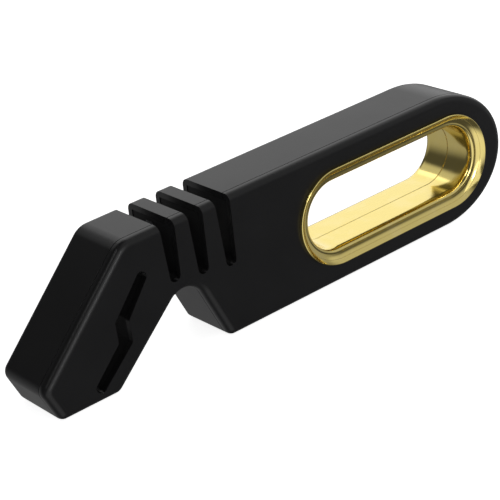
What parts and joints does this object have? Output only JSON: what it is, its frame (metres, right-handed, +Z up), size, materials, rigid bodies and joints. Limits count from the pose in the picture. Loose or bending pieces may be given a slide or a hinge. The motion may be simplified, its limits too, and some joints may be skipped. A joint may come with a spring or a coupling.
{
  "type": "knife sharpener",
  "caption": "Hand-held pull-through knife and scissor sharpener: slotted angled head, long handle with a gold-lined grip hole, sprung scissor rocker.",
  "frame": {"origin": "on the table, under the middle of the body's length and width", "axes": "+X along the handle from the nose to the round end, +Y from the cover's face to the main shell's face, +Z up"},
  "size_m": [0.2086, 0.0288, 0.05],
  "materials": {
    "body_black": "satin black injection-moulded ABS with a very fine spark texture",
    "gold_plate": "bright pale-gold electroplating on moulded ABS",
    "screw_steel": "zinc-plated self-tapping screw",
    "pad_rubber": "matt black non-slip rubber",
    "stage_black": "matt black glass-filled nylon",
    "rocker_grey": "matt dark grey nylon",
    "carbide": "ground tungsten carbide",
    "diamond_grit": "steel rod coated with diamond grit",
    "ceramic_white": "fine white alumina ceramic",
    "pin_steel": "bright steel pin",
    "spring_steel": "blued spring steel strip"
  },
  "bodies": {
    "case": {"main_shell": "body_black", "side_cover": "body_black", "case_screws": "screw_steel", "front_pad": "pad_rubber", "rear_pad": "pad_rubber", "ring_near": "gold_plate", "ring_far": "gold_plate", "coarse_block": "stage_black", "coarse_plate_left": "carbide", "coarse_plate_right": "carbide", "medium_block": "stage_black", "medium_rod_left": "diamond_grit", "medium_rod_right": "diamond_grit", "fine_block": "stage_black", "fine_rod_left": "ceramic_white", "fine_rod_right": "ceramic_white", "scissor_block": "stage_black", "rocker_pin": "pin_steel", "rocker_spring": "spring_steel"},
    "rocker": {"scissor_rocker": "rocker_grey", "upper_scissor_rod": "ceramic_white", "lower_scissor_rod": "ceramic_white"}
  },
  "joints": [
    {"name": "rocker_tilt", "type": "hinge", "parent": "case", "child": "rocker", "pos_m": [-0.08363, 0, 0.0215], "axis": [0, 1, 0], "range_deg": [-6, 6], "stiffness_Nm_per_rad": 0.05, "deforming": ["rocker_spring"]}
  ]
}
